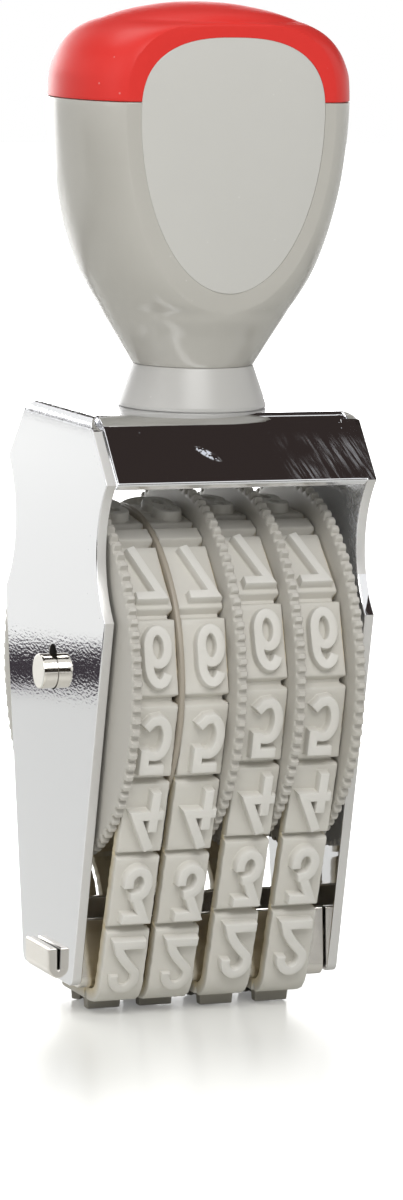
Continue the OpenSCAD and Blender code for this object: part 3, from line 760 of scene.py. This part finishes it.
def beltBody(c, shift, middle, width):
    # a rounded rectangular section carried round the loop; each cell is flat, with a groove at its ends,
    # but follows the bend where it turns round the nose
    starts = cellStarts(c, shift)
    _, nose, run, total = beltSizes(c)
    # a hinge groove's wall: the distance from the hinge, and the share of the cell's height
    groove = np.array([0.0, 0.13, 0.22, 0.34, 0.42, 0.56])
    rise = np.array([0.12, 0.15, 0.34, 0.92, 1.07, 1.15]) / 1.15 * c["cell"]
    outer, inner, hinge = [], [], []
    for s0, s1 in zip(starts[:-1], starts[1:]):
        first, along, outward, length = cellFrame(s0, s1, c)
        inside = np.linspace(groove[-1], length - groove[-1], 14)[1:-1]
        u = np.concatenate([groove, inside, (length - groove)[:0:-1]])
        h = np.concatenate([rise, np.full(len(inside), c["cell"]), rise[:0:-1]])
        s = s0 + u / length * (s1 - s0)
        path, normal = beltPath(s, c)
        flat = first + along * u[:, None] + outward * h[:, None]
        ends, endNormals = beltPath(np.array([s0, s1]), c)
        bent = endNormals[0] @ endNormals[1] < 0.9 and ends[:, 1].max() < 20
        outer.append(path + normal * h[:, None] if bent else flat)
        straight = np.abs((s + total / 2) % total - total / 2)
        onDrum = smoothed((straight - c["noseY"] - nose - run + 3) / 3)
        lining = c["lining"] + (c["drumLining"] - c["lining"]) * onDrum
        inner.append(path - normal * lining[:, None])
        hinge.append(h < 0.3 * c["cell"])
    outer, inner, hinge = np.concatenate(outer), np.concatenate(inner), np.concatenate(hinge)
    # the section: the outer edges are rounded, and the inner ones lie at the belt's full thickness
    half, r, full = width / 2, c["edge"], 1000
    turn = np.linspace(0, np.pi / 2, 4)
    depth = np.concatenate([[full], r * (1 - np.sin(turn)), r * (1 - np.sin(turn[::-1])), [full]])
    tuck = r * (1 - np.cos(turn))
    across = np.concatenate([[-half], tuck - half, half - tuck[::-1], [half]])
    down = inner - outer
    thick = np.linalg.norm(down, axis=1)[:, None, None]
    yz = outer[:, None] + down[:, None] * np.minimum(depth[None, :, None] / thick, 1)
    x = across[None] - np.where(hinge[:, None] & (across[None] > 0), c["notch"], 0)
    # the moulding line along both edges is a little ragged
    u = np.arange(len(x))[:, None] * 1.0
    ragged = 0.035 * np.sin(u * 1.9 + middle) * np.sin(u * 0.73 + across[None]) + 0.02 * np.sin(u * 3.1)
    x = x + ragged * np.sign(across[None]) * (np.abs(across[None]) > half - 0.05)
    points = np.concatenate([middle + x[..., None], yz], -1)
    return ringGrid(points, closeRows=True)


def digitLines():
    # middle lines of the strokes of 0 to 9, upright, 6 high about the middle
    six = [np.concatenate([[(-1.15, -1.0)], bow(0, 0.9, 1.15, 2.05, 180, 28, 18)]),
           bow(0, -1.14, 1.15, 1.86, 0, 360, 32)]
    nine = [np.asarray(line) * (-1, -1) for line in six]
    return [
        [bow(0, 0, 1.3, 3, 0, 360, 36)],
        [[(-1.3, 1.9), (0.0, 3.0)], [(0.1, -3.2), (0.1, 3.5)], [(-1.9, -3), (1.95, -3)]],
        [np.concatenate([bow(-0.03, 1.35, 1.3, 1.55, 190, -25, 18),
                         [(0.45, 0.0), (-0.35, -0.95), (-1.0, -1.95), (-1.33, -2.95), (1.9, -2.95)]])],
        [np.concatenate([[(-1.1, -0.95)], bow(0, -1.55, 1.13, 1.43, -180, 10, 18),
                         [(0.85, -0.4), (0.35, 0.08), (-0.7, 0.3)]]),
         [(-0.05, 0.3), (1.15, 2.97), (-1.45, 2.97)]],
        [[(0.77, -3.5), (0.77, 1.3)], [(0.62, 3.5), (-1.35, -0.67), (1.85, -0.67)]],
        [[(1.15, 3.0), (-1.22, 3.0), (-1.22, 0.55)],
         np.concatenate([[(-1.05, 1.1), (-0.5, 1.28)], bow(-0.02, -0.82, 1.22, 2.15, 88, -80, 18),
                         [(-0.6, -2.8), (-1.4, -2.0)]])],
        six,
        [[(-1.78, 3.0), (1.22, 3.0), (-1.0, -3.5)]],
        [bow(0, 1.62, 1.02, 1.36, 0, 360, 28), bow(0, -1.35, 1.17, 1.65, 0, 360, 30)],
        nine]


def strokeSurface(line, width, low, high):
    # a mound with sloping sides carried along a line, mitred at its corners; its ends slope off too
    line = np.asarray(line, float)
    loop = np.linalg.norm(line[0] - line[-1]) < 0.01
    if loop:
        line = line[:-1]
    # the slope, from its foot to its face: how far out from the stroke's edge, and how high
    back = np.array([0.22, 0.20, 0.11, 0.02, -0.03, -0.10])
    tall = np.array([low, 0.0, 0.10, high - 0.11, high - 0.03, high])
    before, after = line - np.roll(line, 1, 0), np.roll(line, -1, 0) - line
    if not loop:
        before[0], after[-1] = after[0], before[-1]
    u = before / np.linalg.norm(before, axis=1)[:, None]
    v = after / np.linalg.norm(after, axis=1)[:, None]
    mean = (u + v) / np.linalg.norm(u + v, axis=1)[:, None]
    across = np.stack([-mean[:, 1], mean[:, 0]], 1) / (u * mean).sum(1)[:, None]
    offset = np.concatenate([width / 2 + back, -(width / 2 + back)[::-1]])
    height = np.tile(np.concatenate([tall, tall[::-1]]), (len(line), 1))
    middle = line.copy()
    if not loop:
        ends = []
        for tip, way, side, flip in ((line[0], -u[0], across[0], True),
                                     (line[-1], v[-1], across[-1], False)):
            rings = [(tip + way * b, side, np.minimum(height[0], max(t, low + 0.02)))
                     for b, t in zip(back, tall)]
            ends.append(rings if flip else rings[::-1])
        head, tail = ends
        middle = np.concatenate([[m for m, _, _ in head], line[1:-1], [m for m, _, _ in tail]])
        across = np.concatenate([[a for _, a, _ in head], across[1:-1], [a for _, a, _ in tail]])
        height = np.concatenate([[h for _, _, h in head], height[1:-1], [h for _, _, h in tail]])
    xy = middle[:, None] + across[:, None] * offset[None, :, None]
    return np.concatenate([xy, height[..., None]], -1), loop


def makeBand(c, index):
    # the belt, with the strokes of its digits joined on; digit 1 is under the anvil and 0 comes last
    middle, shift, width = c["middles"][index], c["shifts"][index], c["widths"][index]
    body = makeMesh(f"printingBand{index + 1}", [beltBody(c, shift, middle, width)], 40)
    starts = cellStarts(c, shift)
    lines = digitLines()
    strokes = []
    for k in range(c["printed"]):
        cell = k + (k > 6)
        s0 = starts[cell + 1] - c["pitch"] if k == 1 else starts[cell]
        first, along, outward, length = cellFrame(s0, starts[cell + 1], c)
        centre = first + along * length / 2 + outward * c["cell"]
        for line in lines[(k + 1) % 10]:
            # a digit's top points back down the belt, so that it prints the right way round
            local, loop = strokeSurface(line, c["stroke"], -0.45, c["relief" if k else "footRelief"])
            yz = centre - along * local[..., 1:2] + outward * local[..., 2:3]
            points = np.concatenate([middle + c["aside"][index] + local[..., 0:1], yz], -1)
            strokes.append(makeMesh("stroke", [ringGrid(points, loop)]))
    combine(body, strokes, "UNION", 32)
    markBand(body, c, middle, width)
    driftBehind(body, c)
    return body


def driftBehind(obj, c):
    # behind, below the wheels, the slack belt has moved sideways
    points = readPoints(obj)
    points[:, 0] += c["drift"] * smoothed((20 - points[:, 2]) / 10) * smoothed((points[:, 1] - 2) / 5)
    obj.data.vertices.foreach_set("co", (points * mm).ravel())
    obj.data.update()


def markBand(obj, c, middle, width):
    # relief is 0 on the belt and 1 on the digits' faces; side is 1 on the cut sides of the belt
    points = readPoints(obj)
    path, normal = beltPath(np.linspace(0, beltSizes(c)[3], 420), c)
    offset = points[:, None, 1:] - path[None].astype(np.float32)
    nearest = (offset ** 2).sum(-1).argmin(1)
    rows = np.arange(len(points))
    height = (offset[rows, nearest] * normal[nearest]).sum(-1)
    relief = np.clip((height - c["cell"] - 0.1) / 0.7, 0, 1)
    side = 1.0 * (np.abs(points[:, 0] - middle) > width / 2 - 0.09) * np.clip((0.85 - height) / 0.3, 0, 1)
    writeAttribute(obj, "relief", relief)
    writeAttribute(obj, "side", side)


handle = {"wall": 2.2, "bottom": 73.3, "joint": 103.3, "gap": 0.03, "edge": 0.13, "crownStart": 110.0,
          "bossLow": 79.3, "hollowLow": 81.3, "hollowTop": 111.4, "recess": 1.15, "recessGap": 0.012,
          "faceMiddle": 102.0, "faceWidth": 12.2, "faceDown": 22.1, "faceUp": 10.1, "depth": 10.9,
          "crease": 11, "bossRadius": 5.2, "bossTop": 91.3, "screw": 2.8, "insertLow": 75.3,
          "insertRadius": 3.62, "labelWidth": 11.0, "labelDown": 20.0, "labelUp": 8.5, "labelThick": 1.1,
          "heights": (73.3, 76.6, 79.9, 84.5, 90.5, 95.5, 103.3, 105.8, 107.7, 109.4, 110.7, 111.7,
                      112.9, 113.7, 114.1, 114.15),
          "widths": (6.85, 8.9, 10.9, 13.3, 15.2, 16.2, 16.9, 16.8, 16.2, 15.2, 13.9, 12.2, 8.9, 5.4,
                     2.0, 0.4),
          "depths": (6.85, 8.6, 10.5, 10.9, 10.9, 10.9, 10.9, 10.9, 10.9, 10.9, 10.9, 10.9, 9.4, 6.0,
                     2.2, 0.4)}


def smoothThrough(x, knots, values):
    # cubic curve through the knots, whose slope at each is the harmonic mean of its neighbours' slopes
    knots, values = np.asarray(knots, float), np.asarray(values, float)
    step, rise = np.diff(knots), np.diff(values)
    slope = rise / step
    a, b = slope[:-1], slope[1:]
    wa, wb = step[1:] * 2 + step[:-1], step[:-1] * 2 + step[1:]
    same = a * b > 0
    a, b = np.where(same, a, 1), np.where(same, b, 1)
    inner = np.where(same, (wa + wb) / (wa / a + wb / b), 0)
    tangent = np.concatenate([[slope[0]], inner, [slope[-1]]])
    k = np.clip(np.searchsorted(knots, x, "right") - 1, 0, len(step) - 1)
    t = (x - knots[k]) / step[k]
    return (values[k] * (1 + 2 * t) * (1 - t) ** 2 + step[k] * tangent[k] * t * (1 - t) ** 2
            + values[k + 1] * t * t * (3 - 2 * t) + step[k] * tangent[k + 1] * t * t * (t - 1))


def handleRings(z, inset, c, quarter=26):
    # each level is a flat front, a side that rounds off from it with a soft crease, and the same behind;
    # the side's X grows with the sine of an angle from the crease to 90 degrees, its Y with the cosine,
    # and the front is as wide as half an ellipse below its widest level and a cubic arch above it
    z, inset = np.asarray(z, float), np.broadcast_to(inset, np.shape(z))
    a = smoothThrough(z, c["heights"], c["widths"])
    b = smoothThrough(z, c["heights"], c["depths"])
    below = np.sqrt(np.clip(1 - ((c["faceMiddle"] - z) / c["faceDown"]) ** 2, 0, 1))
    above = np.clip(1 - np.clip((z - c["faceMiddle"]) / c["faceUp"], 0, 1) ** 3, 0, 1) ** (1 / 3)
    face = c["faceWidth"] * np.where(z < c["faceMiddle"], below, above)
    face = np.clip(np.minimum(face, a - 2.5) - inset, 0, None)
    a, b = np.maximum(a - inset, 0.2), np.maximum(b - inset, 0.2)
    start = np.radians(c["crease"]) * np.clip(face / 5, 0, 1)[:, None]
    t = start + (np.pi / 2 - start) * np.linspace(0, 1, quarter)
    x = face[:, None] + (a - face)[:, None] * (np.sin(t) - np.sin(start)) / (1 - np.sin(start))
    y = b[:, None] * np.cos(t) / np.cos(start)
    flat = face[:, None] * np.linspace(-1, 1, 8)[None, 1:-1]
    front = np.full_like(flat, -1) * b[:, None]
    xs = np.concatenate([flat, x, x[:, -2::-1], -flat, -x, -x[:, -2:0:-1]], 1)
    ys = np.concatenate([front, -y, y[:, -2::-1], -front, y, -y[:, -2:0:-1]], 1)
    return np.stack([xs, ys, np.broadcast_to(z[:, None], xs.shape)], -1)


def edged(low, high, edge, count, upperRim=True):
    # levels between two heights, with the insets that round off the lower rim and perhaps the upper one
    turn = np.linspace(0, np.pi / 2, 5)
    head = edge * (1 - np.cos(turn))
    tuck = edge * (1 - np.sin(turn))
    levels = [low + head, np.linspace(low + edge, high - edge, count)[1:-1],
              high - head[::-1] if upperRim else [high]]
    insets = [tuck, np.zeros(count - 2), tuck[::-1] if upperRim else [0]]
    return np.concatenate(levels), np.concatenate(insets)


def shieldOutline(grow, c):
    # half an ellipse below its widest level, and a pointed arch of power 0.77 above it
    low = np.linspace(math.pi, 2 * math.pi, 49)
    high = np.linspace(0, math.pi, 49)[1:-1]
    w, m = c["labelWidth"] + grow, c["faceMiddle"]
    x = np.concatenate([w * np.cos(low), w * np.sign(np.cos(high)) * np.abs(np.cos(high)) ** 0.77])
    z = np.concatenate([m + (c["labelDown"] + grow) * np.sin(low),
                        m + (c["labelUp"] + grow) * np.sin(high) ** 0.77])
    return np.stack([x, z], 1)


def cutHandle(body, c):
    # the recess of each shield, cut in from just outside the handle
    tools = []
    for side in (-1, 1):
        low, high = sorted((side * (c["depth"] + 2.1), side * (c["depth"] - c["recess"])))
        tools.append(makeMesh("recess", [prism(shieldOutline(c["recessGap"], c), low, high, "y")]))
    combine(body, tools, "DIFFERENCE", 30)
    evenNormals(body)
    return body


def cutHollow(body, low, high, count, c):
    # takes out the inside of the grip or the cap, one wall's thickness behind its surface
    rings = handleRings(np.linspace(low, high, count), c["wall"], c, 10)
    combine(body, [makeMesh("hollow", [ringGrid(rings)])], "DIFFERENCE")


def makeHandleBody(c):
    # a shell with a solid foot, and in it a round boss with a stepped bore for the screw and its insert
    z, inset = edged(c["bottom"], c["joint"] - c["gap"], c["edge"], 64)
    body = makeMesh("handleGrip", [ringGrid(handleRings(z, inset, c))], 30)
    cutHollow(body, c["hollowLow"], c["joint"] + 5, 24, c)
    combine(body, [boreTool("boss", [(c["bossLow"], c["bossRadius"]), (c["bossTop"], 0)])], "UNION")
    combine(body, [boreTool("bore", [(c["bottom"] - 1, c["screw"]), (c["insertLow"], c["insertRadius"]),
                                     (c["bossTop"] + 1, 0)])], "DIFFERENCE")
    return cutHandle(body, c)


def makeHandleCap(c):
    # the handle's own rings above the joint; towards the top their spacing shrinks to follow the crown
    top, start = c["heights"][-1], c["crownStart"]
    z, inset = edged(c["joint"] + c["gap"], start, c["edge"], 22, False)
    crown = top - (top - start) * np.linspace(1, 0, 34)[1:] ** 2
    z, inset = np.concatenate([z, crown]), np.concatenate([inset, 0 * crown])
    body = makeMesh("handleTop", [ringGrid(handleRings(z, inset, c))], 30)
    cutHollow(body, c["joint"] - 3, c["hollowTop"], 16, c)
    return cutHandle(body, c)


def makeLabel(side, c):
    # the bare shield, in front where side is -1 and behind where it is 1
    low, high = sorted((side * c["depth"], side * (c["depth"] - c["labelThick"])))
    name = "shieldFront" if side < 0 else "shieldRear"
    return makeMesh(name, [prism(shieldOutline(0.0, c), low, high, "y", 0.07)])


collar = {"bottom": 68.4, "height": 4.9, "bore": 2.8, "radii": (8.45, 6.85), "edge": 0.22}


def makeCollar(c):
    # a cone with a short foot, turned round the Z axis
    low, high, (r0, r1) = c["bottom"], c["bottom"] + c["height"], c["radii"]
    profile = rounded([(low, c["bore"]), (low, r0), (low + 0.45, r0 - 0.03), (high, r1), (high, c["bore"])],
                      [0, c["edge"], 0.6, c["edge"], 0], 4)
    return makeMesh("taperedCollar", [lathe(profile, 128, "z")], 40)


chrome = chromeFinish(plating, sheet)
nickel = nickelFinish()
steel = steelFinish()
rubber = rubberFinish()
brass = brassFinish()
zinc = zincFinish()
greyPlastic = plasticFinish("greyPlastic", (0.455, 0.44, 0.40), 0.215, (0.43, 0.415, 0.375))
labelPlastic = plasticFinish("labelPlastic", (0.53, 0.522, 0.49), 0.40, (0.515, 0.507, 0.475), 0.006)
collarPlastic = plasticFinish("collarPlastic", (0.445, 0.437, 0.415), 0.34, (0.44, 0.43, 0.41))
redPlastic = plasticFinish("redPlastic", (0.68, 0.035, 0.028), 0.36, (0.62, 0.03, 0.025), gloss=0.22)
wheelPlastic = plasticFinish("wheelPlastic", (0.51, 0.49, 0.445), 0.42, (0.475, 0.455, 0.41), 0.006)
taupePlastic = plasticFinish("taupePlastic", (0.36, 0.32, 0.26), 0.45, (0.33, 0.29, 0.235), 0.006)

for finish, names in ((chrome, "frame"), (nickel, "anvil"), (steel, "axle"),
                      (wheelPlastic, "axle_spacer wheel_1 wheel_2 wheel_3 wheel_4"),
                      (taupePlastic, "separator_disc"),
                      (rubber, "band_1 band_2 band_3 band_4"), (collarPlastic, "collar"),
                      (greyPlastic, "handle_body"), (redPlastic, "handle_cap"), (brass, "threaded_insert"),
                      (labelPlastic, "front_label_plate rear_label_plate"),
                      (zinc, "handle_screw spring_washer")):
    for name in names.split():
        coat(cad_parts[name], finish)
print("stage: finishes")

place(makeFrameSheet(sheet), "frame", "frame", chrome)
place(makeAnvil(anvil), "frame", "anvil", nickel)
place(makeAxle(axle), "frame", "axle", steel)
place(makeAxleRing("axleBush", bush), "frame", "axle_spacer", wheelPlastic)
print("stage: sheet, anvil and axle")
for index in range(4):
    name = f"wheel_{index + 1}"
    place(makeWheel(wheel, index), name, name, wheelPlastic)
place(makeAxleRing("separatorDisc", disc), "separator_disc", "separator_disc",
      taupePlastic)
print("stage: wheels")
for index in range(4):
    place(makeBand(belt, index), "frame", f"band_{index + 1}", rubber)
print("stage: bands")
place(makeCollar(collar), "frame", "collar", collarPlastic)
place(makeHandleBody(handle), "frame", "handle_body", greyPlastic)
place(makeHandleCap(handle), "frame", "handle_cap", redPlastic)
place(makeLabel(-1, handle), "frame", "front_label_plate", labelPlastic)
place(makeLabel(1, handle), "frame", "rear_label_plate", labelPlastic)
print("stage: handle")


studio = {"floorWhite": 0.80, "mirroredWhite": 0.62, "floorTint": (1, 1, 0.955), "floorHalf": 1800,
          "nearGlow": 0.16, "farGlow": 0.6, "mirroredGlow": 0.03, "tableEdge": (236, 292),
          "worldColour": (0.98, 0.985, 1.0), "worldStrength": 0.42, "aim": (0, 0, 55)}
# each lamp is a rectangle: its middle, its size and its power
lamps = {"keyBox": ((-120, -520, 520), (460, 360), 3.0),
         "leftBox": ((-620, -160, 300), (380, 420), 0.55),
         "topBox": ((-140, 260, 640), (420, 260), 1.3),
         "backBox": ((40, 640, 130), (520, 240), 1.3)}
# each flag is a dark rectangle that only reflections see: its middle, its size, where it faces, its shade
flags = {"overheadFlag": ((150, 90, 560), (560, 820), (-0.2, 0.1, -1), (0.036, 0.027, 0.025)),
         "backFlag": ((710, 850, 680), (1470, 880), (-0.7, -1, 0), (0.04, 0.032, 0.03)),
         "horizonFlag": ((-370, 900, 128), (260, 28), (0.4, -1, 0), (0.2, 0.19, 0.19)),
         "leftFlag": ((-292, -70, 28), (560, 60), (1, 0, 0), (0.08, 0.075, 0.07)),
         "roomFlag": ((0, -700, 180), (860, 310), (0, 1, 0), (0.03, 0.025, 0.02)),
         "ceilingFlag": ((-500, 1090, 1000), (1600, 1620), (0, 0, -1), (0.04, 0.03, 0.025))}


squareCorners = ((-1, -1), (1, -1), (1, 1), (-1, 1))


def stageMesh(name, points, faces, material):
    # a piece of the room, which is no part of the stamp
    mesh = bpy.data.meshes.new(name)
    mesh.from_pydata([Vector(p) * mm for p in points], [], faces)
    obj = bpy.data.objects.new(name, mesh)
    bpy.context.scene.collection.objects.link(obj)
    mesh.materials.append(material)
    return obj


def turned(x, y):
    # directions across and along the camera's view, 21.7 degrees round from X and Y; the painted shadow on
    # the floor is laid out along them
    return x * 0.93 - y * 0.37, x * 0.37 + y * 0.93


def makeFloor(c):
    # near the stamp the floor shows its shadow, partly rendered and partly painted, and far away it is as
    # white as the room
    white, mirrored = (tuple(v * t for t in c["floorTint"]) for v in (c["floorWhite"], c["mirroredWhite"]))
    f = Finish("floorWhite", white, 0.27)
    rays = f.node("ShaderNodeLightPath")
    camera, glossy = (f.wire(rays.outputs[k]) for k in ("Is Camera Ray", "Is Glossy Ray"))
    x, y, _ = f.axes()
    far = (x * x + y * y).root()
    across, along = turned(x, y)
    across = 2.1 * (across - 1.5)
    close = (across * across + along * along).root()
    # the glow is dimmed near the stamp over a patch drawn out along the view: a painted soft shadow round
    # the stamp
    glow = c["nearGlow"] + c["farGlow"] * (0.4 * close.step(22, 64) + 0.6 * far.step(60, 300))
    # painted light on the right, and a painted soft shadow at the lower left
    side, ahead = (across + 36) / 34, (along + 40) / 32
    glow = glow + 0.15 * across.step(29, 44) - 0.28 * (side * side + ahead * ahead).root().step(1, 0.1)
    beyond = far.step(c["tableEdge"][1] - 4, c["tableEdge"][1] + 14)
    f.feed("Base Color", f.mix(glossy, white, mirrored))
    f.feed("Emission Color", (1, 1, 1))
    f.feed("Emission Strength", camera * glow + glossy * (c["mirroredGlow"] + 0.2 * beyond))
    corners = [(a * c["floorHalf"], b * c["floorHalf"], -0.1) for a, b in squareCorners]
    stageMesh("floor", corners, [(0, 1, 2, 3)], f.material)


def makeWorld(c):
    # white to the camera and to reflections, and a soft pale light to all else
    world = bpy.data.worlds.new("studio")
    bpy.context.scene.world = world
    world.use_nodes = True
    w = Wire(world.node_tree, None)
    rays = w.node("ShaderNodeLightPath")
    seen = (w.wire(rays.outputs["Is Camera Ray"]) + w.wire(rays.outputs["Is Glossy Ray"])).clamp()
    soft = tuple(v * c["worldStrength"] for v in c["worldColour"])
    w.plug(world.node_tree.nodes["Background"].inputs["Color"], w.mix(seen, soft, (1, 1, 1)))


def flagMesh(name, points, faces, shade):
    # a piece of the studio that only reflections see; its shade is a colour, or a pattern from its finish
    f = Finish(name, (0, 0, 0), 1.0, gloss=0.0)
    f.feed("Emission Color", shade(f) if callable(shade) else shade)
    f.feed("Emission Strength", 1.0)
    obj = stageMesh(name, points, faces, f.material)
    obj.visible_camera = obj.visible_diffuse = obj.visible_shadow = obj.visible_transmission = False


def makeFlag(name, middle, size, facing, shade):
    # a rectangle square to the way it faces
    turn = Vector(facing).to_track_quat("Z", "Y").to_matrix()
    u, v = turn.col[0] * size[0] / 2, turn.col[1] * size[1] / 2
    points = [Vector(middle) + a * u + b * v for a, b in squareCorners]
    flagMesh(name, points, [(0, 1, 2, 3)], shade)


def tableEdgeShade(f):
    # dark between the ring's soft rims, and open behind the stamp, so that the handle's edges stay light
    x, y, _ = f.axes()
    far = (x * x + y * y).root()
    low, high = studio["tableEdge"]
    behind = turned(x, y)[1] / far
    dark = far.step(low, low + 12) * far.step(high, high - 14) * behind.step(0.97, 0.93)
    return f.mix(dark, (0.62, 0.61, 0.62), (0.05, 0.042, 0.05))


def makeTableEdge(c, count=96):
    # a ring just over the floor, where the white table ends
    turn = np.linspace(0, 2 * np.pi, count, endpoint=False)
    rings = [np.stack([r * np.cos(turn), r * np.sin(turn), 0.4 + 0 * turn], 1) for r in c["tableEdge"]]
    faces = gridFaces(2, count, False, True, False)
    flagMesh("tableEdge", np.concatenate(rings).tolist(), faces, tableEdgeShade)


def makeLamp(name, spot, size, power, aim):
    # a rectangular lamp that shines at the stamp's middle
    data = bpy.data.lights.new(name, "AREA")
    data.shape = "RECTANGLE"
    data.size, data.size_y = size[0] * mm, size[1] * mm
    data.energy = power
    lamp = bpy.data.objects.new(name, data)
    bpy.context.scene.collection.objects.link(lamp)
    lamp.location = Vector(spot) * mm
    lamp.rotation_euler = (Vector(aim) - Vector(spot)).to_track_quat("-Z", "Y").to_euler()


makeFloor(studio)
makeWorld(studio)
makeTableEdge(studio)
for name, values in lamps.items():
    makeLamp(name, *values, studio["aim"])
for name, values in flags.items():
    makeFlag(name, *values)
bpy.context.scene.view_settings.view_transform = "Standard"
print("stage: studio")
